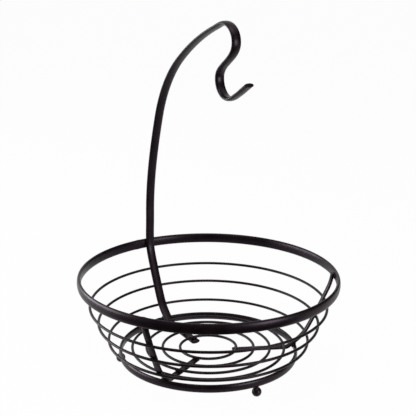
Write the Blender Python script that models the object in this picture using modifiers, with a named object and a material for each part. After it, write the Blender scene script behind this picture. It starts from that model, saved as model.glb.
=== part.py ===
"""A welded wire fruit basket with a banana hanger: oval bar rings, round wire rings, ribs and ball feet.

Sizes are in metres and +Z is up. The origin is on the table, on the axis of the bowl. The hanger stands at +Y.
Touching pieces keep a small weld gap, so each piece stays a solid of its own.
"""
import math

import bmesh
import bpy

# Bars and wires
rim_bar_height = 0.0111
rim_bar_thickness = 0.0045
base_bar_height = 0.0086
base_bar_thickness = 0.0038
hanger_bar_width = 0.0105
hanger_bar_thickness = 0.0044
rib_bar_width = 0.0079
rib_bar_thickness = 0.0038
side_wire_diameter = 0.0030
floor_wire_diameter = 0.0030
weld_gap = 0.0003

# Bowl: radii and heights run to the middle of each bar or wire
rim_radius = 0.13775
base_radius = 0.09525
bowl_depth = 0.0828
side_ring_levels = ("lower", "middle", "upper")
side_ring_height_shares = (0.184, 0.425, 0.655)
side_ring_spread_shares = (0.291, 0.540, 0.748)
floor_ring_radius_shares = (0.323, 0.521, 0.704, 0.866)

# Ribs and the hanger's lower end
run_top_height = 0.0022
run_lift_angle = math.radians(1.4)
run_end_overhang = 0.0045
run_bend_radius = 0.0085
rib_top_drop = 0.0024
rib_left_angle = math.radians(121)
rib_right_angle = math.radians(-117)
wall_lean_angles = {
    "base": math.radians(50),
    "lower": math.radians(36),
    "middle": math.radians(26),
    "upper": math.radians(23),
    "rim": math.radians(5),
}

# Hanger: the rise goes from the middle of the rim to the top of the arch
hanger_rise = 0.2718
hanger_tuck = 0.0005
hook_nose_reach = 0.0187
hook_nose_drop = 0.0171
hook_drop = 0.0731

# Each row: share of the upright's radius, share of the rise, heading in degrees from the outward direction
arch_shares = (
    (1.000, 0.135, 90),
    (0.825, 0.576, 108),
    (0.465, 0.830, 142),
    (-0.070, 0.978, 159),
    (-0.214, 1.000, 180),
)

# Each row: shares of the hook's drop, outward and down from the top of the arch, and the heading in degrees
hook_shares = (
    (-0.018, 0.528, 323),
    (0.150, 0.738, 273),
    (-0.089, 1.000, 182),
    (-0.317, 0.912, 151),
    (-0.583, 0.746, 150),
)

# Feet
foot_diameter = 0.010
foot_flat_depth = 0.0003
foot_count = 3

# Fineness of the meshes
ring_steps = 72
wire_ring_steps = 60
section_points = 12
wire_section_points = 6
foot_steps = 20
foot_profile_points = 10
path_steps = 5
merge_distance = 0.00001
roundness_exponent = 2.6

# Places that follow from the sizes
base_height = foot_diameter - foot_flat_depth + weld_gap + base_bar_height / 2
rim_height = base_height + bowl_depth
floor_outer_radius = floor_ring_radius_shares[-1] * base_radius
floor_inner_radius = floor_ring_radius_shares[0] * base_radius
run_slope = math.tan(run_lift_angle)

coating = {"base_color": (0.017, 0.013, 0.0145, 1.0), "roughness": 0.42, "metallic": 0.25}


def clear_scene():
    """Remove the objects that the file starts with."""
    for obj in list(bpy.data.objects):
        bpy.data.objects.remove(obj, do_unlink=True)


def new_collection(name):
    collection = bpy.data.collections.new(name)
    bpy.context.scene.collection.children.link(collection)
    return collection


def coated(name):
    """A satin powder coat of the object's own, near-black with a warm tint."""
    material = bpy.data.materials.new(name + "_coat")
    material.use_nodes = True
    shader = material.node_tree.nodes["Principled BSDF"]
    shader.inputs["Base Color"].default_value = coating["base_color"]
    shader.inputs["Roughness"].default_value = coating["roughness"]
    shader.inputs["Metallic"].default_value = coating["metallic"]
    return material


def add_object(name, data, collection):
    obj = bpy.data.objects.new(name, data)
    collection.objects.link(obj)
    return obj


def oval_section(width, height):
    """Points round a flat oval bar's cut end: rounder than a box, squarer than an ellipse."""
    points = []
    for i in range(section_points):
        angle = math.tau * i / section_points
        across = math.copysign(abs(math.cos(angle)) ** (2 / roundness_exponent), math.cos(angle))
        along = math.copysign(abs(math.sin(angle)) ** (2 / roundness_exponent), math.sin(angle))
        points.append((width / 2 * across, height / 2 * along))
    return points


def oval_reach(width, height, angle):
    """How far an oval bar reaches from its middle in a direction, which is where a neighbour touches it."""
    dual = roundness_exponent / (roundness_exponent - 1)
    across = abs(width / 2 * math.cos(angle)) ** dual
    along = abs(height / 2 * math.sin(angle)) ** dual
    return (across + along) ** (1 / dual)


def bar_ring(name, radius, height, thickness, bar_height, collection):
    """A ring of oval bar on edge: the cut end of the bar, turned about the bowl's axis by a Screw."""
    mesh = bpy.data.meshes.new(name)
    form = bmesh.new()
    points = oval_section(thickness, bar_height)
    verts = [form.verts.new((radius + x, 0, z)) for x, z in points]
    for first, second in zip(verts, verts[1:] + verts[:1]):
        form.edges.new((first, second))
    form.to_mesh(mesh)
    form.free()
    ring = add_object(name, mesh, collection)
    ring.location.z = height
    turn = ring.modifiers.new("turn", "SCREW")
    turn.steps = ring_steps
    turn.render_steps = ring_steps
    turn.use_merge_vertices = True
    turn.merge_threshold = merge_distance
    turn.use_normal_calculate = True
    ring.data.materials.append(coated(name))
    return ring


def wire_ring(name, radius, height, diameter, collection):
    """A ring of round wire."""
    bpy.ops.mesh.primitive_torus_add(
        major_radius=radius,
        minor_radius=diameter / 2,
        major_segments=wire_ring_steps,
        minor_segments=wire_section_points,
        location=(0, 0, height),
    )
    ring = bpy.context.active_object
    ring.name = name
    for other in ring.users_collection:
        other.objects.unlink(ring)
    collection.objects.link(ring)
    ring.data.materials.append(coated(name))
    return ring


def side_ring_places():
    """Level, radius and height of each side ring, between the base ring and the rim."""
    places = []
    shares = zip(side_ring_levels, side_ring_spread_shares, side_ring_height_shares)
    for level, spread_share, height_share in shares:
        radius = base_radius + spread_share * (rim_radius - base_radius)
        places.append((level, radius, base_height + height_share * bowl_depth))
    return places


def run_top(out):
    """Height of the runs' upper face at a distance from the axis. The runs fall gently to the middle."""
    return base_height + run_top_height + (out - floor_outer_radius) * run_slope


def seat_node(radius, height, reach, bar_thickness, lean):
    """Where a leaning bar's middle passes when its outer face touches a ring, and its heading there."""
    distance = reach + weld_gap + bar_thickness / 2
    out = radius - distance * math.cos(lean)
    up = height + distance * math.sin(lean)
    return out, up, math.pi / 2 - lean


def wall_nodes(bar_thickness):
    """The run on the floor, the bend, and the seat against each ring from the base up to the rim."""
    lean = wall_lean_angles["base"]
    base_reach = oval_reach(base_bar_thickness, base_bar_height, lean)
    seat = seat_node(base_radius, base_height, base_reach, bar_thickness, lean)
    seat_out, seat_up, heading = seat
    half = bar_thickness / 2
    start = floor_inner_radius - run_end_overhang
    steepness = math.tan(lean)
    corner = (seat_out - (seat_up - run_top(0) + half) * steepness) / (1 - run_slope * steepness)
    corner_up = run_top(corner) - half
    tangent = run_bend_radius * math.tan((heading - run_lift_angle) / 2)
    run_end = corner - tangent * math.cos(run_lift_angle)
    nodes = [
        (start, run_top(start) - half, run_lift_angle),
        (run_end, run_top(run_end) - half, run_lift_angle),
        (corner + tangent * math.cos(heading), corner_up + tangent * math.sin(heading), heading),
        seat,
    ]
    for level, radius, height in side_ring_places():
        lean = wall_lean_angles[level]
        nodes.append(seat_node(radius, height, side_wire_diameter / 2, bar_thickness, lean))
    lean = wall_lean_angles["rim"]
    rim_reach = oval_reach(rim_bar_thickness, rim_bar_height, lean)
    nodes.append(seat_node(rim_radius, rim_height, rim_reach, bar_thickness, lean))
    return nodes


def rib_nodes():
    """A rib ends just under the rim's upper edge, straight on from its seat there."""
    nodes = wall_nodes(rib_bar_thickness)
    out, up, heading = nodes[-1]
    rise = rim_height + rim_bar_height / 2 - rib_top_drop - up
    nodes.append((out + rise / math.tan(heading), up + rise, heading))
    return nodes


def hanger_nodes():
    """The hanger goes on from the rim: a tall arch over the bowl, a tight nose, an S and an upturned hook."""
    nodes = wall_nodes(hanger_bar_thickness)
    upright = nodes[-1][0] - hanger_tuck
    for out_share, rise_share, degrees in arch_shares:
        place = (upright * out_share, rim_height + hanger_rise * rise_share)
        nodes.append((*place, math.radians(degrees)))
    top_out, top_up = nodes[-1][:2]
    nodes.append((top_out - hook_nose_reach, top_up - hook_nose_drop, math.radians(270)))
    for out_share, down_share, degrees in hook_shares:
        place = (top_out + hook_drop * out_share, top_up - hook_drop * down_share)
        nodes.append((*place, math.radians(degrees)))
    return nodes


def handle_length(first, second):
    """Bezier handle that makes the stretch between two headings as near to an arc as a cubic gets."""
    turn = (second[2] - first[2] + math.pi) % math.tau - math.pi
    chord = math.dist(first[:2], second[:2])
    return chord / (3 * math.cos(turn / 4) ** 2)


def bent_bar(name, nodes, width, thickness, angle, collection, guides):
    """An oval bar bent in one upright plane through the bowl's axis: a Bezier path with an oval bevel object."""
    section = bpy.data.curves.new(name + "_section", "CURVE")
    section.dimensions = "2D"
    outline = section.splines.new("POLY")
    points = oval_section(width, thickness)[::-1]
    outline.points.add(len(points) - 1)
    for point, (x, y) in zip(outline.points, points):
        point.co = (x, y, 0, 1)
    outline.use_cyclic_u = True
    guide = add_object(name + "_section", section, guides)
    guide.hide_render = True
    guide.display_type = "WIRE"

    path = bpy.data.curves.new(name, "CURVE")
    path.dimensions = "3D"
    path.twist_mode = "MINIMUM"
    path.resolution_u = path_steps
    path.render_resolution_u = path_steps
    path.bevel_mode = "OBJECT"
    path.bevel_object = guide
    path.use_fill_caps = True
    spline = path.splines.new("BEZIER")
    spline.bezier_points.add(len(nodes) - 1)
    for i, node in enumerate(nodes):
        out, up, heading = node
        before = handle_length(nodes[i - 1], node) if i else weld_gap
        after = handle_length(node, nodes[i + 1]) if i + 1 < len(nodes) else weld_gap
        along = (math.cos(heading), math.sin(heading))
        point = spline.bezier_points[i]
        point.handle_left_type = "FREE"
        point.handle_right_type = "FREE"
        point.co = (out, 0, up)
        point.handle_left = (out - before * along[0], 0, up - before * along[1])
        point.handle_right = (out + after * along[0], 0, up + after * along[1])
    bar = add_object(name, path, collection)
    bar.rotation_euler.z = angle
    bar.data.materials.append(coated(name))
    return bar


def ball_foot(name, angle, collection):
    """A ball under the base ring with a small flat to stand on: half its outline, turned by a Screw."""
    radius = foot_diameter / 2
    flat_angle = math.acos((radius - foot_flat_depth) / radius)
    mesh = bpy.data.meshes.new(name)
    form = bmesh.new()
    verts = []
    for i in range(foot_profile_points + 1):
        angle_from_top = (math.pi - flat_angle) * i / foot_profile_points
        x = radius * math.sin(angle_from_top)
        z = radius * math.cos(angle_from_top)
        verts.append(form.verts.new((x, 0, z)))
    verts.append(form.verts.new((0, 0, -radius * math.cos(flat_angle))))
    for first, second in zip(verts, verts[1:]):
        form.edges.new((first, second))
    form.to_mesh(mesh)
    form.free()
    foot = add_object(name, mesh, collection)
    foot.location = (
        base_radius * math.cos(angle),
        base_radius * math.sin(angle),
        radius - foot_flat_depth,
    )
    turn = foot.modifiers.new("turn", "SCREW")
    turn.steps = foot_steps
    turn.render_steps = foot_steps
    turn.use_merge_vertices = True
    turn.merge_threshold = merge_distance
    turn.use_normal_calculate = True
    foot.data.materials.append(coated(name))
    return foot


def build():
    clear_scene()
    basket = new_collection("fruit_basket")
    guides = new_collection("guides")

    bar_ring("rim_ring", rim_radius, rim_height, rim_bar_thickness, rim_bar_height, basket)
    bar_ring("base_ring", base_radius, base_height, base_bar_thickness, base_bar_height, basket)
    for level, radius, height in side_ring_places():
        wire_ring("side_ring_" + level, radius, height, side_wire_diameter, basket)
    for number, share in enumerate(floor_ring_radius_shares, start=1):
        radius = share * base_radius
        height = run_top(radius) + weld_gap + floor_wire_diameter / 2
        wire_ring(f"floor_ring_{number}", radius, height, floor_wire_diameter, basket)

    back = math.pi / 2
    bent_bar("hanger", hanger_nodes(), hanger_bar_width, hanger_bar_thickness, back, basket, guides)
    for name, angle in (("rib_left", rib_left_angle), ("rib_right", rib_right_angle)):
        bent_bar(name, rib_nodes(), rib_bar_width, rib_bar_thickness, back + angle, basket, guides)

    for i, name in enumerate(("foot_front", "foot_right", "foot_left")):
        ball_foot(name, math.tau * i / foot_count - back, basket)


build()
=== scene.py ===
# %% [markdown]
# # A wire fruit basket with a banana hanger
#
# The real basket is steel bar and wire, welded together and then powder coated in one go. Flat oval
# bar makes the rim, the base ring, two ribs and the tall hanger. Round wire makes three side rings
# and four floor rings, and three steel balls are the feet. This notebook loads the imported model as
# a fixed frame, and then builds the pieces that are seen: finer rings and bars, weld beads where
# they cross, and the coating. All sizes are in metres.

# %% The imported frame
import math

import bmesh
import bpy
import numpy as np
from mathutils import Matrix, Vector


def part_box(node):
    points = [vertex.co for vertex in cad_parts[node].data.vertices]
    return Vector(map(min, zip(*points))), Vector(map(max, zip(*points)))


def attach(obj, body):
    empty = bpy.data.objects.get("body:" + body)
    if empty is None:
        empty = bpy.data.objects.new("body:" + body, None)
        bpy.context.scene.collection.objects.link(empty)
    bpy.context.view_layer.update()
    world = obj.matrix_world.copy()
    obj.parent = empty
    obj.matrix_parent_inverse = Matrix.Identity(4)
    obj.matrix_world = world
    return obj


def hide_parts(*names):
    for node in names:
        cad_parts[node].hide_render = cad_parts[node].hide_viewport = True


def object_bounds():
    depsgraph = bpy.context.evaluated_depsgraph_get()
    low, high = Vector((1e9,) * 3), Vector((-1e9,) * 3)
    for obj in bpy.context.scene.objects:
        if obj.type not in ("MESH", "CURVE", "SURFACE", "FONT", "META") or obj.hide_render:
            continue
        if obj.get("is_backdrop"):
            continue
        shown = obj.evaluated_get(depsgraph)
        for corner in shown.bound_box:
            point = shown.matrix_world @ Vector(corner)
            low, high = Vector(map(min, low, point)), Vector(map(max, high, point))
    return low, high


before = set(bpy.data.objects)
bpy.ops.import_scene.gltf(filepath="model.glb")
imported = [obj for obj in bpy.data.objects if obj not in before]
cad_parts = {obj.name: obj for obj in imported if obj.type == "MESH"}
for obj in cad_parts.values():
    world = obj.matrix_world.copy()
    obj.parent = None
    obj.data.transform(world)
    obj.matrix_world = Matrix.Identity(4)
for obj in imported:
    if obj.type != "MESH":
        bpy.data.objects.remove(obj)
cad_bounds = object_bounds()
scene = bpy.context.scene
print("nodes:", len(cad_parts))
print("box:", [round(side, 4) for side in cad_bounds[1] - cad_bounds[0]])

# %% [markdown]
# ## The camera
#
# The photograph was taken from a little above the rim, with a long lens. The camera could be placed
# by eye, but the rings are circles of known places, so a camera was fitted to them beforehand, and
# its numbers are written here. The picture is square, so the sensor's width and the lens give the
# angle of view with no shift.

# %% The camera
camera_place = (-0.5232, -0.8563, 0.4707)
camera_heading = -31.346
camera_pitch_down = 16.427
camera_roll = 0.454
camera_lens = 86.54

camera_data = bpy.data.cameras.new("camera")
camera_data.lens = camera_lens
camera = bpy.data.objects.new("camera", camera_data)
scene.collection.objects.link(camera)
turn = Matrix.Rotation(math.radians(camera_heading), 4, "Z")
tip = Matrix.Rotation(math.radians(90 - camera_pitch_down), 4, "X")
roll = Matrix.Rotation(math.radians(camera_roll), 4, "Z")
camera.matrix_world = Matrix.Translation(camera_place) @ turn @ tip @ roll
scene.camera = camera
scene.view_settings.view_transform = "Standard"
looks_along = camera.matrix_world.to_3x3() @ Vector((0, 0, -1))
print("camera looks along", [round(part, 3) for part in looks_along])

# %% [markdown]
# ## A short way to add nodes
#
# Every node tree below, for shapes and for finishes, is built by the same small helpers. The first
# adds one node, sets its options, and fills each input with a value or with a link to another
# node's output. Written out in full, each node would take three or four lines, and the trees would
# be hard to read.

# %% Helpers for node trees
def add_node(tree, kind, inputs=None, **options):
    """Add a node. Inputs go by name or number: each is a value or another node's output."""
    node = tree.nodes.new(kind)
    for option, value in options.items():
        setattr(node, option, value)
    for key, source in (inputs or {}).items():
        if isinstance(source, bpy.types.NodeSocket):
            tree.links.new(source, node.inputs[key])
        else:
            node.inputs[key].default_value = source
    return node


def maths(tree, operation, *sources, clamp=False):
    """One Math node, as its output."""
    inputs = dict(enumerate(sources))
    return add_node(tree, "ShaderNodeMath", inputs, operation=operation, use_clamp=clamp).outputs[0]


def vector_maths(tree, operation, inputs, output="Vector"):
    """One Vector Math node, as its output."""
    node = add_node(tree, "ShaderNodeVectorMath", inputs, operation=operation)
    return node.outputs[output]


def noise(tree, vector, scale, detail, seed):
    """The outputs of a noise texture with a seed of its own."""
    inputs = {"Vector": vector, "W": seed, "Scale": scale, "Detail": detail}
    return add_node(tree, "ShaderNodeTexNoise", inputs, noise_dimensions="4D").outputs


print("helpers:", [helper.__name__ for helper in (add_node, maths, vector_maths, noise)])

# %% [markdown]
# ## Directions in the studio
#
# Lamps and cloths are placed as a photographer thinks of them: so many degrees to the camera's
# right, and so many above the table. Plain coordinates would do, but then each number would have to
# be worked out again by hand if the camera moved.

# %% Directions in the studio
camera_azimuth = -31.7


def direction_of(side, height):
    """The way from the basket to a thing, by its angles to the camera's right and upwards."""
    azimuth, elevation = math.radians(camera_azimuth + side), math.radians(height)
    level = math.cos(elevation)
    return Vector((math.sin(azimuth) * level, -math.cos(azimuth) * level, math.sin(elevation)))


def stage_sheet(name, points, faces, material):
    """A sheet of paper or cloth. It is stage, so it isn't part of the basket."""
    mesh = bpy.data.meshes.new(name)
    mesh.from_pydata(points, [], faces)
    mesh.materials.append(material)
    sheet = bpy.data.objects.new(name, mesh)
    scene.collection.objects.link(sheet)
    sheet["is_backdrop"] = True
    return sheet


forward, sideways = direction_of(0, 0), direction_of(90, 0)
print("towards the camera:", [round(part, 3) for part in forward])

# %% [markdown]
# ## Floor and background
#
# The photograph has a pure white ground. Raising the light until a floor burns out to white would
# also bleach the basket, so the white is in the floor's material instead. Where the camera or a
# reflection looks at it, most of what they see is an even white, and the rest is a pale matt
# surface, which keeps the basket's soft shadow. Past the floor's edge the world is white in the
# same way. It makes the light edges at the left and right ends of the rings, where the coating is
# seen so flat that it mirrors what is behind it. To all other rays the world is a dim, even room.

# %% Floor and background
floor_reach = 30.0
room_light = 0.20
floor_white_share = 0.97
floor_colour = (0.88, 0.88, 0.88, 1.0)
pure_white = (1.0, 1.0, 1.0, 1.0)


def background_rays(tree):
    """One for a ray from the camera, from a reflection or through glass, zero for the rest."""
    rays = add_node(tree, "ShaderNodeLightPath").outputs
    seen = maths(tree, "MAXIMUM", rays["Is Camera Ray"], rays["Is Glossy Ray"])
    return maths(tree, "MAXIMUM", seen, rays["Is Transmission Ray"])


def empty_material(name):
    """A material without nodes, and its tree."""
    material = bpy.data.materials.new(name)
    material.use_nodes = True
    material.node_tree.nodes.clear()
    return material, material.node_tree


paper, tree = empty_material("studio_paper")
share = maths(tree, "MULTIPLY", background_rays(tree), floor_white_share)
matt = add_node(tree, "ShaderNodeBsdfDiffuse", {"Color": floor_colour}).outputs[0]
white = add_node(tree, "ShaderNodeEmission", {"Color": pure_white, "Strength": 1.0}).outputs[0]
ground = add_node(tree, "ShaderNodeMixShader", {0: share, 1: matt, 2: white}).outputs[0]
add_node(tree, "ShaderNodeOutputMaterial", {"Surface": ground})

corners = ((-1, -1), (1, -1), (1, 1), (-1, 1))
floor_corners = [(x * floor_reach, y * floor_reach, 0) for x, y in corners]
stage_sheet("floor", floor_corners, [(0, 1, 2, 3)], paper)

room = bpy.data.worlds.new("room")
room.use_nodes = True
tree = room.node_tree
choice = {0: background_rays(tree), 2: room_light, 3: 1.0}
strength = add_node(tree, "ShaderNodeMix", choice).outputs[0]
tree.nodes["Background"].inputs["Color"].default_value = pure_white
tree.links.new(strength, tree.nodes["Background"].inputs["Strength"])
scene.world = room
print("floor:", 2 * floor_reach, "m across, room light:", room_light)

# %% [markdown]
# ## Studio light
#
# The highlights tell where the lamps stood. On the front of the rim one lies about 24 degrees to
# the right, and a mirror turned by 24 degrees looks 48 degrees away, so a softbox stood there. A
# longer one on the left of the rim puts the second softbox square to the left. Both stood on the
# table, because the bars shine well below their top edges. A third, large and weak, hangs overhead.

# %% Studio light
aim = Vector((0, 0, 0.15))

softboxes = {
    "softbox_right": {
        "side": 48, "height": 4, "distance": 1.5, "size": (0.55, 0.50), "watts": 15.0},
    "softbox_left": {
        "side": -98, "height": 6, "distance": 1.5, "size": (1.30, 0.60), "watts": 29.0},
    "softbox_top": {
        "side": 10, "height": 76, "distance": 1.7, "size": (1.20, 1.00), "watts": 12.0},
}

for name, box in softboxes.items():
    lamp = bpy.data.lights.new(name, "AREA")
    lamp.shape = "RECTANGLE"
    lamp.size, lamp.size_y = box["size"]
    lamp.energy = box["watts"]
    holder = bpy.data.objects.new(name, lamp)
    scene.collection.objects.link(holder)
    way = direction_of(box["side"], box["height"])
    facing = way.to_track_quat("Z", "Y").to_matrix().to_4x4()
    holder.matrix_world = Matrix.Translation(aim + way * box["distance"]) @ facing

print("lamps:", list(softboxes))

# %% [markdown]
# ## A dark card and dark curtains
#
# The basket's front faces are almost black between the highlights. A satin face that looks towards
# the camera mirrors the table before it and the room behind the camera, so both were dark.
# Photographers do this on purpose: a black card lies on the table, just below the picture's lower
# edge, and a black curtain hangs round the camera, from one softbox to the other. A second curtain
# goes on from the right softbox, because the right end of the rim is dark too. All are seen in
# reflections alone, so they take no light away and other views don't show them.

# %% The dark card and the curtains
card_near, card_far, card_half_width = 0.128, 1.1, 0.8
card_lift = 0.0004
curtain_stretches = ((-72, 36), (60, 150))
curtain_distance, curtain_height, panel_degrees = 1.25, 1.4, 6
black_cloth_colour = (0.010, 0.010, 0.010, 1.0)

cloth, tree = empty_material("black_cloth")
black = add_node(tree, "ShaderNodeBsdfDiffuse", {"Color": black_cloth_colour}).outputs[0]
add_node(tree, "ShaderNodeOutputMaterial", {"Surface": black})

card_corners = []
for reach, aside in ((card_near, -1), (card_near, 1), (card_far, 1), (card_far, -1)):
    corner = forward * reach + sideways * card_half_width * aside
    card_corners.append(corner + Vector((0, 0, card_lift)))
dark_sheets = [stage_sheet("dark_card", card_corners, [(0, 1, 2, 3)], cloth)]

for number, (left, right) in enumerate(curtain_stretches, start=1):
    panels = round((right - left) / panel_degrees)
    sides = np.linspace(left, right, panels + 1)
    hem = [direction_of(side, 0) * curtain_distance for side in sides]
    points = [spot + Vector((0, 0, up)) for spot in hem for up in (0, curtain_height)]
    faces = [(2 * i, 2 * i + 2, 2 * i + 3, 2 * i + 1) for i in range(panels)]
    dark_sheets.append(stage_sheet(f"dark_curtain_{number}", points, faces, cloth))

for sheet in dark_sheets:
    for ray in ("camera", "diffuse", "transmission", "volume_scatter", "shadow"):
        setattr(sheet, "visible_" + ray, False)
print("dark sheets:", [sheet.name for sheet in dark_sheets])

# %% [markdown]
# ## The powder coat
#
# The coating is a satin near-black with a warm plum tint. Powder melts into a skin that is never
# quite even, and a single dark colour would look like a hole in the picture. A scanned picture
# could give the unevenness, but it would stretch round the bends. So the pattern comes from noises
# in the object's own space: broad clouds, an orange peel and a fine grain. Two numbers come from
# the meshes: "edge" along tight corners, and "rub" where fruit stalks have polished the hook.

# %% The patterns that a coat reads
cloud_scale, cloud_detail = 38.0, 3.0
peel_scale, peel_detail = 620.0, 1.0
grain_scale, grain_detail = 3400.0, 2.0


def coat_patterns(tree, seed):
    """The noises and the mesh's numbers that a coat is made from."""
    place = add_node(tree, "ShaderNodeTexCoord").outputs["Object"]
    return {
        "place": place,
        "cloud": noise(tree, place, cloud_scale, cloud_detail, seed)["Fac"],
        "peel": noise(tree, place, peel_scale, peel_detail, seed + 1)["Fac"],
        "grain": noise(tree, place, grain_scale, grain_detail, seed + 2)["Fac"],
        "edge": add_node(tree, "ShaderNodeAttribute", attribute_name="edge").outputs["Fac"],
        "rub": add_node(tree, "ShaderNodeAttribute", attribute_name="rub").outputs["Fac"],
    }


def rescaled(tree, value, span, ends=(0.0, 1.0)):
    """A value whose span is stretched to other ends, and which stays between them."""
    inputs = {"Value": value, "From Min": span[0], "From Max": span[1]}
    inputs.update({"To Min": ends[0], "To Max": ends[1]})
    return add_node(tree, "ShaderNodeMapRange", inputs).outputs[0]


cloud_width, grain_width = 1000 / cloud_scale, 1000 / grain_scale
print("clouds are", round(cloud_width), "mm across, the grain is", round(grain_width, 1), "mm")

# %% [markdown]
# ## The coat's colour and satin
#
# Where powder lies thick it is deepest, and at corners it draws back, so the steel's warmth shows
# through as a browner black. The same clouds drive the roughness, because a thick skin flows out
# smoother than a thin one. Colour and roughness could each have noises of their own, but shared
# ones read as one material.

# %% The coat's colour and satin
coat_deep = (0.0030, 0.0016, 0.0022, 1.0)
coat_lifted = (0.0060, 0.0034, 0.0047, 1.0)
coat_thin = (0.0220, 0.0130, 0.0140, 1.0)
cloud_span, mottle_span = (0.35, 0.65), (0.3, 0.7)
grain_in_mottle, cloud_in_mottle = 0.6, 0.4
worn_polish, rubbed_polish, rubbed_patchiness = 0.10, 0.05, 0.06


def mixed_colour(tree, share, first, second):
    """Two colours mixed by a share."""
    inputs = {0: share, 6: first, 7: second}
    return add_node(tree, "ShaderNodeMix", inputs, data_type="RGBA").outputs[2]


def coat_wear(tree, pattern):
    """Where the coat is thick or thin, and where it is worn thin at a corner."""
    patches = rescaled(tree, pattern["cloud"], cloud_span)
    worn = maths(tree, "MULTIPLY", pattern["edge"], patches)
    return patches, maths(tree, "MULTIPLY", worn, pattern["grain"], clamp=True)


def coat_satin(tree, pattern, patches, worn, roughness):
    """The roughness between two ends, lower on worn corners and where it is rubbed."""
    grain = maths(tree, "MULTIPLY", pattern["grain"], grain_in_mottle)
    cloud = maths(tree, "MULTIPLY", pattern["cloud"], cloud_in_mottle)
    satin = rescaled(tree, maths(tree, "ADD", grain, cloud), mottle_span, roughness)
    satin = maths(tree, "SUBTRACT", satin, maths(tree, "MULTIPLY", worn, worn_polish))
    polish = maths(tree, "MULTIPLY", patches, rubbed_patchiness)
    polish = maths(tree, "ADD", polish, rubbed_polish)
    return maths(tree, "SUBTRACT", satin, maths(tree, "MULTIPLY", pattern["rub"], polish))


print("deepest and thinnest coat:", coat_deep[:3], coat_thin[:3])

# %% [markdown]
# ## The coat's relief
#
# Close up the skin has three sorts of bumps: a dust nib here and there, a shallow orange peel and
# the fine grain of the powder. They are a few hundredths of a millimetre deep, far too small to
# model, so each is a Bump node, laid over the one before. The nibs come from Voronoi cells: a small
# dot at the middle of each, kept only in the cells whose random colour is high.

# %% The coat's relief
peel_depth, grain_depth, nib_height = 0.00005, 0.000014, 0.00004
nib_scale, nib_reach, nib_rarity = 150.0, 0.055, 0.58


def coat_relief(tree, pattern, peel_share):
    """Dust nibs, orange peel and grain, as a normal."""
    cell_inputs = {"Vector": pattern["place"], "Scale": nib_scale}
    cells = add_node(tree, "ShaderNodeTexVoronoi", cell_inputs).outputs
    dots = rescaled(tree, cells["Distance"], (0.0, nib_reach), (1.0, 0.0))
    chosen = maths(tree, "GREATER_THAN", cells["Color"], nib_rarity)
    layers = (
        (maths(tree, "MULTIPLY", dots, chosen), nib_height),
        (pattern["peel"], peel_depth * peel_share),
        (pattern["grain"], grain_depth),
    )
    below = {}
    for height, depth in layers:
        bump = {"Height": height, "Strength": 1.0, "Distance": depth, **below}
        below = {"Normal": add_node(tree, "ShaderNodeBump", bump).outputs[0]}
    return below["Normal"]


print("orange peel is", peel_depth * 1000, "mm deep, nibs are", nib_height * 1000, "mm high")

# %% [markdown]
# ## Six coats
#
# The real basket hangs in one booth and gets one coat, but a noise in object space would run on
# from one piece to the next as if they were cut from one block. So each kind of piece has a coat
# with a seed of its own. Thin wire takes a flatter skin than bar, and a weld a lumpier one.

# %% Six coats
coat_ior = 1.25
coat_tint = (0.97, 0.80, 1.0, 1.0)


def powder_coat(name, seed, roughness, peel_share):
    """One coating material."""
    material = bpy.data.materials.new(name)
    material.use_nodes = True
    tree = material.node_tree
    pattern = coat_patterns(tree, seed)
    patches, worn = coat_wear(tree, pattern)
    body = mixed_colour(tree, patches, coat_deep, coat_lifted)
    shader = tree.nodes["Principled BSDF"].inputs
    tree.links.new(mixed_colour(tree, worn, body, coat_thin), shader["Base Color"])
    tree.links.new(coat_satin(tree, pattern, patches, worn, roughness), shader["Roughness"])
    tree.links.new(coat_relief(tree, pattern, peel_share), shader["Normal"])
    shader["IOR"].default_value = coat_ior
    shader["Specular Tint"].default_value = coat_tint
    return material


coat_plan = {
    "satin_rings": {"seed": 3.0, "roughness": (0.30, 0.41), "peel_share": 1.0},
    "satin_wires": {"seed": 17.0, "roughness": (0.31, 0.43), "peel_share": 0.6},
    "satin_hanger": {"seed": 31.0, "roughness": (0.30, 0.41), "peel_share": 1.0},
    "satin_ribs": {"seed": 43.0, "roughness": (0.30, 0.41), "peel_share": 1.0},
    "satin_welds": {"seed": 59.0, "roughness": (0.30, 0.44), "peel_share": 1.6},
    "satin_feet": {"seed": 71.0, "roughness": (0.30, 0.41), "peel_share": 1.0},
}
coats = {name: powder_coat(name, **plan) for name, plan in coat_plan.items()}
print("coats:", list(coats))

# %% [markdown]
# ## Shape trees with named inputs
#
# The rings, the bars and the beads each repeat, so each kind is made by one Geometry Nodes tree
# that is run several times. Its inputs have names, so that the cell that runs it reads like a list
# of sizes. A modifier knows an input by an identifier instead, and the second helper looks that up.

# %% Helpers for shape trees
def new_tree(name, **inputs):
    """An empty shape tree with named inputs, and its input node's outputs."""
    tree = bpy.data.node_groups.new(name, "GeometryNodeTree")
    sockets = [(label.replace("_", " "), "INPUT", kind) for label, kind in inputs.items()]
    for label, way, kind in sockets + [("Geometry", "OUTPUT", "Geometry")]:
        tree.interface.new_socket(label, in_out=way, socket_type="NodeSocket" + kind)
    return tree, add_node(tree, "NodeGroupInput").outputs


def input_names(tree):
    """The names of a tree's inputs, with the identifiers that a modifier needs."""
    sockets = [item for item in tree.interface.items_tree if item.in_out == "INPUT"]
    return {socket.name: socket.identifier for socket in sockets}


print("helpers:", [helper.__name__ for helper in (new_tree, input_names)])

# %% [markdown]
# ## The bars' cut end
#
# Flat oval bar is rolled from round wire, so its cut end is between an ellipse and a rounded box. A
# circle of points can be squeezed into that shape: each coordinate is raised to a power under one,
# which fills the corners out, and is then scaled to half the bar's size. As a node group it serves
# the rings and the bent bars alike, and a squareness of 2 gives round wire. It also stores the
# "edge" number that the coating reads.

# %% The section group
bar_squareness, wire_squareness = 2.15, 2.0
bar_section_steps, wire_section_steps = 32, 16
edge_sharpness = 6.0


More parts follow.
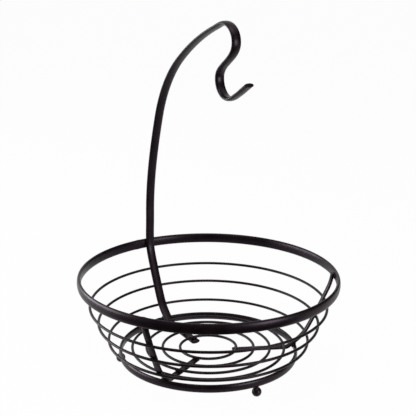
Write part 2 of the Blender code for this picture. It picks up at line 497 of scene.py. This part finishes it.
def stretched(tree, part, power, size):
    """One coordinate of the unit circle, filled out and scaled to half a size."""
    filled = maths(tree, "POWER", maths(tree, "ABSOLUTE", part), power)
    signed = maths(tree, "MULTIPLY", filled, maths(tree, "SIGN", part))
    return maths(tree, "MULTIPLY", signed, maths(tree, "MULTIPLY", size, 0.5))


def make_section_group():
    tree, given = new_tree(
        "oval_section", Width="Float", Thickness="Float", Squareness="Float", Steps="Int")
    circle = add_node(tree, "GeometryNodeCurvePrimitiveCircle",
                      {"Resolution": given["Steps"], "Radius": 1.0}).outputs[0]
    place = add_node(tree, "GeometryNodeInputPosition").outputs[0]
    parts = add_node(tree, "ShaderNodeSeparateXYZ", {0: place}).outputs
    corner = maths(tree, "ABSOLUTE", maths(tree, "MULTIPLY", parts[0], parts[1]))
    edge = maths(tree, "POWER", maths(tree, "MULTIPLY", corner, 2.0), edge_sharpness)
    marked = add_node(tree, "GeometryNodeStoreNamedAttribute",
                      {"Geometry": circle, "Name": "edge", "Value": edge}, domain="POINT")
    power = maths(tree, "DIVIDE", 2.0, given["Squareness"])
    shaped = add_node(tree, "ShaderNodeCombineXYZ", {
        0: stretched(tree, parts[0], power, given["Width"]),
        1: stretched(tree, parts[1], power, given["Thickness"]),
    }).outputs[0]
    moved = add_node(tree, "GeometryNodeSetPosition",
                     {"Geometry": marked.outputs[0], "Position": shaped})
    add_node(tree, "NodeGroupOutput", {0: moved.outputs[0]})
    return tree


section_group = make_section_group()
print("section inputs:", list(input_names(section_group)))

# %% [markdown]
# ## From a tree to a plain mesh
#
# A tree is run on a start mesh, once, and its result is kept as a plain mesh. A live modifier would
# do for a render, but the exported model needs real faces, and a pattern in object space stays
# still only on a finished mesh. The trees all use the section in the same way, and all end alike.

# %% Running a tree
def section_in(tree, given, **sizes):
    """The oval section inside another tree, its sizes taken from that tree's inputs."""
    section = add_node(tree, "GeometryNodeGroup", node_tree=section_group)
    for label, source in sizes.items():
        tree.links.new(given[source], section.inputs[label])
    return section.outputs[0]


def finish_tree(tree, geometry, coat):
    """End a tree with real faces, smooth shading and the coat."""
    whole = add_node(tree, "GeometryNodeRealizeInstances", {"Geometry": geometry}).outputs[0]
    smooth = add_node(tree, "GeometryNodeSetShadeSmooth", {"Geometry": whole}).outputs[0]
    coated = add_node(tree, "GeometryNodeSetMaterial", {"Geometry": smooth, "Material": coat})
    add_node(tree, "NodeGroupOutput", {0: coated.outputs[0]})


def grow(name, tree, values, start=None):
    """Run a tree with these input values, and keep what it makes as plain faces."""
    piece = bpy.data.objects.new(name, start or bpy.data.meshes.new(name))
    maker = piece.modifiers.new("maker", "NODES")
    maker.node_group = tree
    identifiers = input_names(tree)
    for label, value in values.items():
        maker[identifiers[label]] = value
    scene.collection.objects.link(piece)
    made = piece.evaluated_get(bpy.context.evaluated_depsgraph_get())
    mesh = bpy.data.meshes.new_from_object(made)
    piece.modifiers.remove(maker)
    piece.data = mesh
    mesh.name = name
    return piece


def measure(piece):
    """The volume inside, over zero when the faces point outwards, and how many edges are open."""
    form = bmesh.new()
    form.from_mesh(piece.data)
    cubic_millimetres = round(form.calc_volume(signed=True) * 1e9)
    open_edges = sum(not edge.is_manifold for edge in form.edges)
    form.free()
    return f"{cubic_millimetres} mm3, {open_edges} open edges"


print("helpers:", [helper.__name__ for helper in (section_in, finish_tree, grow, measure)])

# %% [markdown]
# ## The rings
#
# A ring is a bar or a wire bent round and butt welded. A plain torus would be too perfect: a real
# ring wanders a few tenths of a millimetre, and the weld leaves a slight swelling. Because the
# shape follows a rule, Geometry Nodes make all nine rings from one tree: a circle, moved a little
# by smooth noise, with the section swept along it.

# %% The ring tree
wander_scale, wander_detail = 7.0, 1.0
noise_middle = (0.5, 0.5, 0.5)


def wandering_circle(tree, given, place):
    """The ring's path: a circle at its height, off the true line by a little smooth noise."""
    circle = add_node(tree, "GeometryNodeCurvePrimitiveCircle",
                      {"Resolution": given["Ring Steps"], "Radius": given["Radius"]}).outputs[0]
    drift = noise(tree, place, wander_scale, wander_detail, given["Seed"])["Color"]
    drift = vector_maths(tree, "SUBTRACT", {0: drift, 1: noise_middle})
    drift = vector_maths(tree, "SCALE", {0: drift, "Scale": given["Wander"]})
    lift = add_node(tree, "ShaderNodeCombineXYZ", {2: given["Height"]}).outputs[0]
    offset = vector_maths(tree, "ADD", {0: drift, 1: lift})
    path = add_node(tree, "GeometryNodeSetPosition", {"Geometry": circle, "Offset": offset})
    path = add_node(tree, "GeometryNodeSetCurveNormal", {"Curve": path.outputs[0]}, mode="Z_UP")
    return path.outputs[0]


def seam_swelling(tree, given, place):
    """How much thicker the ring is near its seam: a smooth hump over one."""
    seam_x = maths(tree, "MULTIPLY", given["Radius"], maths(tree, "COSINE", given["Seam Angle"]))
    seam_y = maths(tree, "MULTIPLY", given["Radius"], maths(tree, "SINE", given["Seam Angle"]))
    seam = {0: seam_x, 1: seam_y, 2: given["Height"]}
    seam = add_node(tree, "ShaderNodeCombineXYZ", seam).outputs[0]
    far = vector_maths(tree, "DISTANCE", {0: place, 1: seam}, "Value")
    steps = maths(tree, "DIVIDE", far, given["Seam Length"])
    square = maths(tree, "MULTIPLY", steps, steps)
    fade = maths(tree, "EXPONENT", maths(tree, "MULTIPLY", square, -1.0))
    return maths(tree, "ADD", maths(tree, "MULTIPLY", fade, given["Seam Swell"]), 1.0)


def make_ring_tree():
    tree, given = new_tree(
        "welded_ring", Radius="Float", Height="Float", Bar_Thickness="Float", Bar_Height="Float",
        Squareness="Float", Ring_Steps="Int", Section_Steps="Int", Wander="Float",
        Seam_Angle="Float", Seam_Swell="Float", Seam_Length="Float", Seed="Float", Coat="Material")
    place = add_node(tree, "GeometryNodeInputPosition").outputs[0]
    swept = add_node(tree, "GeometryNodeCurveToMesh", {
        "Curve": wandering_circle(tree, given, place),
        "Profile Curve": section_in(
            tree, given, Width="Bar Thickness", Thickness="Bar Height",
            Squareness="Squareness", Steps="Section Steps"),
        "Scale": seam_swelling(tree, given, place),
    })
    finish_tree(tree, swept.outputs[0], given["Coat"])
    return tree


ring_tree = make_ring_tree()
print("ring inputs:", list(input_names(ring_tree)))

# %% [markdown]
# ## Making the nine rings
#
# The rim and the base ring are bar, stood on edge, and the other seven are wire. Each ring's radius
# and height could be typed here, but they come from the box of its CAD node, so that the two can't
# drift apart, and only the bar sizes are written. The seams lie just beside the hanger, where a
# maker turns them to be hidden.

# %% The nine rings
rim_bar, base_bar = (0.0045, 0.0111), (0.0038, 0.0086)
side_wire, floor_wire = (0.0030, 0.0030), (0.0030, 0.0030)
ring_steps, ring_wander, first_ring_seed = 300, 0.0003, 5.0
seam_degrees, seam_swell, seam_length = 96, 0.05, 0.0022

ring_bars = {"rim_ring": rim_bar, "base_ring": base_bar}
for name in ("side_ring_upper", "side_ring_middle", "side_ring_lower"):
    ring_bars[name] = side_wire
for name in ("floor_ring_1", "floor_ring_2", "floor_ring_3", "floor_ring_4"):
    ring_bars[name] = floor_wire
bar_rings = ("rim_ring", "base_ring")
rings, ring_places = {}, {}

for number, (name, (thickness, height)) in enumerate(ring_bars.items()):
    is_bar = name in bar_rings
    low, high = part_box(name)
    radius = (high.x - low.x) / 2 - thickness / 2
    middle = (low.z + high.z) / 2
    ring_places[name] = (radius, middle)
    rings[name] = grow(name + "_coated", ring_tree, {
        "Radius": radius - ring_wander / 2, "Height": middle,
        "Bar Thickness": thickness, "Bar Height": height,
        "Squareness": bar_squareness if is_bar else wire_squareness,
        "Ring Steps": ring_steps,
        "Section Steps": bar_section_steps if is_bar else wire_section_steps,
        "Wander": ring_wander, "Seam Angle": math.radians(seam_degrees),
        "Seam Swell": seam_swell, "Seam Length": seam_length,
        "Seed": first_ring_seed + number,
        "Coat": coats["satin_rings" if is_bar else "satin_wires"],
    })
    print(name, [round(value, 5) for value in ring_places[name]], measure(rings[name]))

# %% [markdown]
# ## The bent bars
#
# The hanger and the ribs are lengths of oval bar, each bent in one upright plane. A bend is set out
# as a row of places with the bar's heading at each: distance out from the bowl's axis, height, and
# degrees up from level. Between two places the bar follows the cubic curve that is nearest to an
# arc. The hanger starts on the floor rings, climbs the wall, arches over the bowl and comes back in
# an S to its upturned hook. Arcs and straight lines in turn could also do it, but a hand-bent arch
# has no such clear joints.

# %% The bars' bends
hanger_bar, rib_bar = (0.0105, 0.0044), (0.0079, 0.0038)
hanger_bends = (
    (0.02627, 0.01293, 1.4), (0.08275, 0.01431, 1.4), (0.08800, 0.01629, 40),
    (0.09127, 0.01904, 40), (0.10438, 0.03189, 54), (0.11460, 0.05124, 64),
    (0.12336, 0.07010, 67), (0.13291, 0.09752, 85), (0.13241, 0.13379, 90),
    (0.10924, 0.25366, 108), (0.06157, 0.32269, 142), (-0.00927, 0.36292, 159),
    (-0.02834, 0.36890, 180), (-0.04704, 0.35180, 270), (-0.02965, 0.33030, 323),
    (-0.01737, 0.31495, 273), (-0.03484, 0.29580, 182), (-0.05151, 0.30223, 151),
    (-0.07095, 0.31437, 150),
)
rib_bends = (
    (0.02627, 0.01323, 1.4), (0.08360, 0.01463, 1.4), (0.08885, 0.01661, 40),
    (0.09147, 0.01881, 40), (0.10462, 0.03171, 54), (0.11487, 0.05111, 64),
    (0.12363, 0.06998, 67), (0.13321, 0.09750, 85), (0.13345, 0.10025, 85),
)
bend_steps = 18


def heading(degrees):
    """A step of length one along a heading."""
    return np.array([math.cos(math.radians(degrees)), math.sin(math.radians(degrees))])


def bend_between(first, second):
    """Points along the cubic curve that is nearest to an arc between two bends."""
    turn = (math.radians(second[2]) - math.radians(first[2]) + math.pi) % math.tau - math.pi
    handle = math.dist(first[:2], second[:2]) / (3 * math.cos(turn / 4) ** 2)
    start, end = np.array(first[:2]), np.array(second[:2])
    leave = start + handle * heading(first[2])
    reach = end - handle * heading(second[2])
    share = np.linspace(0, 1, bend_steps + 1)[:, None]
    keep = 1 - share
    return (keep**3 * start + 3 * keep**2 * share * leave
            + 3 * keep * share**2 * reach + share**3 * end)


def bend_line(bends):
    """All points from a bar's first bend to its last, as (out, up)."""
    stretches = [bend_between(first, second)[1:] for first, second in zip(bends, bends[1:])]
    return np.vstack([np.array(bends[0][:2])[None], *stretches])


for name, bends in (("hanger", hanger_bends), ("rib", rib_bends)):
    steps = np.linalg.norm(np.diff(bend_line(bends), axis=0), axis=1)
    print(name, "bar is", round(float(steps.sum()), 4), "m long")

# %% [markdown]
# ## Rounded bar ends
#
# A sawn bar has its ends tumbled or filed before it is coated, so they are slightly round. A Bevel
# modifier could round them, but it would also catch the section's own edges. Here the path gets a
# few extra points close to each end, and a number that says how full the section is at each point:
# it shrinks there along a quarter circle.

# %% Rounded bar ends
end_round, end_steps, end_clearance = 0.0005, 6, 1.1


def bar_path(bends, thickness):
    """A bar's points as (out, up), and how full its section is at each."""
    line = bend_line(bends)
    into = end_round * (1 - np.cos(np.linspace(0, math.pi / 2, end_steps + 1)))
    lost = end_round - np.sqrt(end_round**2 - (end_round - into) ** 2)
    fullness = 1 - lost / (thickness / 2)
    tips = []
    for end, following in ((line[0], line[1]), (line[-1], line[-2])):
        inward = (following - end) / np.linalg.norm(following - end)
        tips.append(end + into[:, None] * inward)
    to_end = np.minimum(np.linalg.norm(line - line[0], axis=1),
                        np.linalg.norm(line - line[-1], axis=1))
    middle = line[to_end > end_round * end_clearance]
    whole = np.vstack([tips[0], middle, tips[1][::-1]])
    return whole, np.concatenate([fullness, np.ones(len(middle)), fullness[::-1]])


print("the hanger's path has", len(bar_path(hanger_bends, hanger_bar[1])[0]), "points")

# %% [markdown]
# ## Sweeping the bars
#
# The path goes in as a mesh of points and edges that carries the fullness as an attribute. The tree
# turns it into a curve, keeps the flat of the bar square to the bend's plane, and sweeps the same
# oval section along it. Free curve normals are used, because the automatic ones may roll over where
# the S changes sides.

# %% The bar tree
def make_bar_tree():
    tree, given = new_tree(
        "bent_bar", Path="Geometry", Bar_Width="Float", Bar_Thickness="Float",
        Squareness="Float", Section_Steps="Int", Across="Vector", Coat="Material")
    curve = add_node(tree, "GeometryNodeMeshToCurve", {0: given["Path"]}).outputs[0]
    curve = add_node(tree, "GeometryNodeSetCurveNormal",
                     {"Curve": curve, "Normal": given["Across"]}, mode="FREE").outputs[0]
    full = add_node(tree, "GeometryNodeInputNamedAttribute", {"Name": "fullness"})
    swept = add_node(tree, "GeometryNodeCurveToMesh", {
        "Curve": curve,
        "Profile Curve": section_in(
            tree, given, Width="Bar Width", Thickness="Bar Thickness",
            Squareness="Squareness", Steps="Section Steps"),
        "Scale": full.outputs["Attribute"],
        "Fill Caps": True,
    })
    finish_tree(tree, swept.outputs[0], given["Coat"])
    return tree


bar_tree = make_bar_tree()
print("bar inputs:", list(input_names(bar_tree)))

# %% [markdown]
# ## The hanger and the two ribs
#
# The three bars stand round the bowl like the legs of a tripod, with the hanger at the back. The
# right rib stands four degrees nearer the hanger than the left one, as on the real basket. Each
# could be modelled upright and then turned, but a finished piece has to lie unturned at the origin,
# so its points are turned before the sweep. They are turned with plain numbers, which are exact,
# where a Vector would round them. Fruit stalks polish the inside of the hook, and the "rub" number
# that the coat reads fades out from there.

# %% The hanger and the two ribs
hanger_degrees, rib_left_degrees, rib_right_degrees = 90, 211, 333
bars = {
    "hanger": (hanger_bends, hanger_degrees, hanger_bar, coats["satin_hanger"]),
    "rib_left": (rib_bends, rib_left_degrees, rib_bar, coats["satin_ribs"]),
    "rib_right": (rib_bends, rib_right_degrees, rib_bar, coats["satin_ribs"]),
}
hook_cradle = (-0.035, 0.302)
rub_full, rub_end = 0.01005, 0.03015


def bar_axes(degrees):
    """The way out from the bowl's axis in a bar's plane, and the way across that plane."""
    angle = math.radians(degrees)
    outward = Vector((math.cos(angle), math.sin(angle), 0))
    return outward, Vector((-math.sin(angle), math.cos(angle), 0))


def polished_by_stalks(line):
    """One in the hook's cradle, fading to zero round it."""
    away = np.linalg.norm(line - hook_cradle, axis=1)
    return np.clip((rub_end - away) / (rub_end - rub_full), 0, 1)


bar_pieces = {}
for name, (bends, degrees, (width, thickness), coat) in bars.items():
    angle = math.radians(degrees)
    line, fullness = bar_path(bends, thickness)
    points = [(out * math.cos(angle), out * math.sin(angle), up) for out, up in line]
    start = bpy.data.meshes.new(name + "_path")
    start.from_pydata(points, [(i, i + 1) for i in range(len(points) - 1)], [])
    for label, values in (("fullness", fullness), ("rub", polished_by_stalks(line))):
        attribute = start.attributes.new(label, "FLOAT", "POINT")
        attribute.data.foreach_set("value", values.astype(np.float32))
    bar_pieces[name] = grow(name + "_coated", bar_tree, {
        "Bar Width": width, "Bar Thickness": thickness, "Squareness": bar_squareness,
        "Section Steps": bar_section_steps, "Across": tuple(bar_axes(degrees)[1]), "Coat": coat,
    }, start)
    print(name, len(points), "points,", measure(bar_pieces[name]))

# %% [markdown]
# ## The ball feet
#
# Each foot is a steel ball, welded under the base ring and worn to a small flat where it stands.
# Half of its outline is drawn in (distance, height) pairs and turned round an upright line, which
# also gives the fillet at the top. It could be a ready-made sphere, but that has neither the weld's
# fillet nor the flat.

# %% The foot's outline
foot_diameter, foot_flat_depth = 0.010, 0.0003
neck_radius, neck_sink, neck_angle = 0.0021, 0.0004, math.radians(36)
fillet_steps, fillet_out_power, fillet_up_power = 5, 1.6, 0.8
ball_steps, flat_margin = 22, 0.05
flat_rows = ((1.01, 0.00002), (0.93, 0.0), (0.5, 0.0))


def foot_outline():
    """Half the outline from the top down: the neck, a hollow fillet, the ball, the flat."""
    radius = foot_diameter / 2
    centre = radius - foot_flat_depth
    ring_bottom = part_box("base_ring")[0].z
    join = (radius * math.sin(neck_angle), centre + radius * math.cos(neck_angle))
    outline = [(neck_radius, ring_bottom + neck_sink)]
    for i in range(fillet_steps):
        share = i / fillet_steps
        out = neck_radius + (join[0] - neck_radius) * share**fillet_out_power
        up = ring_bottom + (join[1] - ring_bottom) * share**fillet_up_power
        outline.append((out, up))
    flat_angle = math.pi - math.acos(centre / radius)
    for angle in np.linspace(neck_angle, flat_angle - flat_margin, ball_steps):
        outline.append((radius * math.sin(angle), centre + radius * math.cos(angle)))
    flat_radius = radius * math.sin(flat_angle)
    return outline + [(flat_radius * share, up) for share, up in flat_rows]


print("the foot's outline has", len(foot_outline()), "points")

# %% [markdown]
# ## Turning the feet
#
# The outline is turned as on a lathe. Blender's Spin tool does this too, but it leaves doubled
# points at the seam and open poles, so the loops are written out here and each pole is closed with
# a fan of triangles. The coat wears first where the ball meets the table, so "edge" grows towards
# the flat.

# %% The ball feet
foot_turns = 48
worn_height = 0.0016


def turned(outline, centre):
    """An outline turned about an upright line, with both poles closed, as a mesh form."""
    form = bmesh.new()
    angles = [math.tau * i / foot_turns for i in range(foot_turns)]
    loops = []
    for out, up in outline:
        places = [(centre[0] + out * math.cos(angle), centre[1] + out * math.sin(angle), up)
                  for angle in angles]
        loops.append([form.verts.new(place) for place in places])
    for upper, lower in zip(loops, loops[1:]):
        for i in range(foot_turns):
            j = (i + 1) % foot_turns
            form.faces.new((upper[i], lower[i], lower[j], upper[j]))
    for loop in (loops[0], loops[-1]):
        pole = form.verts.new((centre[0], centre[1], loop[0].co.z))
        for i in range(foot_turns):
            form.faces.new((pole, loop[i], loop[(i + 1) % foot_turns]))
    bmesh.ops.recalc_face_normals(form, faces=form.faces)
    return form


def make_foot(name, centre):
    """One coated foot, with its wear marked."""
    form = turned(foot_outline(), centre)
    for face in form.faces:
        face.smooth = True
    mesh = bpy.data.meshes.new(name)
    form.to_mesh(mesh)
    form.free()
    mesh.materials.append(coats["satin_feet"])
    heights = np.array([point.co.z for point in mesh.vertices], np.float32)
    worn = np.clip(1 - heights / worn_height, 0, 1)
    mesh.attributes.new("edge", "FLOAT", "POINT").data.foreach_set("value", worn)
    piece = bpy.data.objects.new(name, mesh)
    scene.collection.objects.link(piece)
    return piece


feet = {}
for name in ("foot_front", "foot_right", "foot_left"):
    low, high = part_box(name)
    centre = ((low.x + high.x) / 2, (low.y + high.y) / 2)
    feet[name] = make_foot(name + "_coated", centre)
    print(name, [round(value, 5) for value in centre], measure(feet[name]))

# %% [markdown]
# ## The weld beads
#
# Where a wire crosses a bar it is pressed and resistance welded, which leaves a low fillet along
# the wire. Where a bar meets the rim or the base ring, a short bead runs down each side of it. They
# are small, alike and many, so Geometry Nodes place them: each point of a start mesh says which way
# its bead faces, which way it runs and how big it is, and the tree puts a softly dented blob there
# with a slightly different size each time.

# %% The bead tree
bead_subdivisions = 4
bead_smallest, bead_largest = (0.88, 0.85, 0.90), (1.10, 1.15, 1.08)
dent_scale, dent_detail, dent_seed = 620.0, 2.0, 9.0


def point_vector(tree, name):
    """A vector that the start mesh carries at each point."""
    return add_node(tree, "GeometryNodeInputNamedAttribute", {"Name": name},
                    data_type="FLOAT_VECTOR").outputs["Attribute"]


def placed_blobs(tree, given):
    """A blob at each point, turned and scaled as the point says."""
    blob = add_node(tree, "GeometryNodeMeshIcoSphere",
                    {"Radius": 1.0, "Subdivisions": bead_subdivisions}).outputs["Mesh"]
    facing, along = point_vector(tree, "facing"), point_vector(tree, "along")
    turn = add_node(tree, "FunctionNodeAxesToRotation",
                    {"Primary Axis": facing, "Secondary Axis": along},
                    primary_axis="Z", secondary_axis="X")
    chance = add_node(tree, "FunctionNodeRandomValue", data_type="FLOAT_VECTOR")
    chance.inputs["Min"].default_value = bead_smallest
    chance.inputs["Max"].default_value = bead_largest
    tree.links.new(given["Seed"], chance.inputs["Seed"])
    size = vector_maths(tree, "MULTIPLY", {0: point_vector(tree, "size"), 1: chance.outputs[0]})
    return add_node(tree, "GeometryNodeInstanceOnPoints", {
        "Points": given["Places"], "Instance": blob, "Rotation": turn.outputs[0], "Scale": size,
    }).outputs[0]


def make_bead_tree():
    tree, given = new_tree(
        "weld_beads", Places="Geometry", Unevenness="Float", Seed="Int", Coat="Material")
    blobs = placed_blobs(tree, given)
    whole = add_node(tree, "GeometryNodeRealizeInstances", {"Geometry": blobs}).outputs[0]
    place = add_node(tree, "GeometryNodeInputPosition").outputs[0]
    dents = noise(tree, place, dent_scale, dent_detail, dent_seed)["Fac"]
    dents = maths(tree, "SUBTRACT", dents, 0.5)
    depth = maths(tree, "MULTIPLY", dents, given["Unevenness"])
    outward = add_node(tree, "GeometryNodeInputNormal").outputs["Normal"]
    push = vector_maths(tree, "SCALE", {0: outward, "Scale": depth})
    dented = add_node(tree, "GeometryNodeSetPosition", {"Geometry": whole, "Offset": push})
    finish_tree(tree, dented.outputs[0], given["Coat"])
    return tree


bead_tree = make_bead_tree()
print("bead inputs:", list(input_names(bead_tree)))

# %% [markdown]
# ## Where the beads sit
#
# The beads could be placed one by one, but they follow the bars: a bar's path is searched for the
# point nearest to each ring, and the bead goes in the small gap between the two. Where a bar passes
# over the base ring's top edge, one more fillet lies across it and fills the wedge between them.

# %% Where the beads sit
wall_bends = 9
side_bead = {"aside": 0.47, "length": 0.24, "width": 0.0010, "height": 0.0008}
wire_bead = {"length": 0.43, "width": 0.52, "height": 0.0006}
seat_bead = {"length": 0.47, "width": 0.0014, "height": 0.0007}
seat_inset, seat_lift, seat_slope = 0.0002, 0.0004, math.radians(18)


def bead_at(ring, outward, across, line, bar):
    """The beads where one bar meets one ring: place, facing, run and half sizes, a row each."""
    width, thickness = bar
    ring_thickness, ring_height = ring_bars[ring]
    radius, middle = ring_places[ring]
    nearest = line[np.argmin(np.linalg.norm(line - (radius, middle), axis=1))]
    centre = outward * radius + Vector((0, 0, middle))
    bar_point = outward * float(nearest[0]) + Vector((0, 0, float(nearest[1])))
    facing = (bar_point - centre).normalized()
    if ring not in bar_rings:
        contact = centre + facing * (ring_thickness / 2)
        length, depth = width * wire_bead["length"], ring_thickness * wire_bead["width"]
        return [(contact, facing, across, (length, depth, wire_bead["height"]))]
    contact = bar_point - facing * (thickness / 2)
    along_bar = across.cross(facing)
    size = (ring_height * side_bead["length"], side_bead["width"], side_bead["height"])
    return [(contact + across * side * width * side_bead["aside"], facing, along_bar, size)
            for side in (-1, 1)]


def seat_row(outward, across, width):
    """The fillet across a bar on the base ring's top edge."""
    radius, middle = ring_places["base_ring"]
    top = middle + base_bar[1] / 2
    seat = outward * (radius - seat_inset) + Vector((0, 0, top + seat_lift))
    slope = outward * math.cos(seat_slope) + Vector((0, 0, math.sin(seat_slope)))
    size = (width * seat_bead["length"], seat_bead["width"], seat_bead["height"])
    return seat, across.cross(slope), across, size


def bead_rows(name):
    """All the beads of one bar."""
    bends, degrees, bar, _ = bars[name]
    outward, across = bar_axes(degrees)
    line = bar_path(bends[:wall_bends], bar[1])[0]
    rows = []
    for ring in ring_places:
        rows += bead_at(ring, outward, across, line, bar)
    return rows + [seat_row(outward, across, bar[0])]


print("beads on each bar:", {name: len(bead_rows(name)) for name in bars})

# %% [markdown]
# ## Making the beads
#
# The beads of one bar are one piece, as they would be one job at the bench. Each could be an object
# of its own, but thirty-six tiny pieces would only make the model harder to handle.

# %% The weld beads
bead_unevenness = 0.0006

bead_pieces = {}
for seed, name in enumerate(bars):
    rows = bead_rows(name)
    start = bpy.data.meshes.new(name + "_weld_places")
    start.from_pydata([row[0] for row in rows], [], [])
    for column, label in enumerate(("facing", "along", "size"), start=1):
        values = np.array([tuple(row[column]) for row in rows], np.float32).ravel()
        attribute = start.attributes.new(label, "FLOAT_VECTOR", "POINT")
        attribute.data.foreach_set("vector", values)
    bead_pieces[name] = grow(name + "_welds", bead_tree, {
        "Unevenness": bead_unevenness, "Seed": seed, "Coat": coats["satin_welds"],
    }, start)
    print(name, len(rows), "beads,", measure(bead_pieces[name]))

# %% [markdown]
# ## Putting the pieces on the frame
#
# The basket is one rigid body, so every piece rides on "root". The plain CAD nodes could stay and
# only get the coat, but their sections are coarse, so each finished piece stands for the node of
# the same name, which is hidden. The welds stand for no node.

# %% Riding on the frame
for name, piece in {**rings, **bar_pieces, **feet}.items():
    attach(piece, "root")
    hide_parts(name)
for name, piece in bead_pieces.items():
    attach(piece, "root")
print("pieces:", len(rings) + len(bar_pieces) + len(feet) + len(bead_pieces))

# %% [markdown]
# ## Sizes and the last line
#
# The finish must not change the object's size, so the box of the visual model is printed beside the
# CAD model's box.

# %% Sizes and the last line
visual_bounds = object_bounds()
for label, box in (("CAD", cad_bounds), ("visual", visual_bounds)):
    print(label, [[round(value, 5) for value in corner] for corner in box])
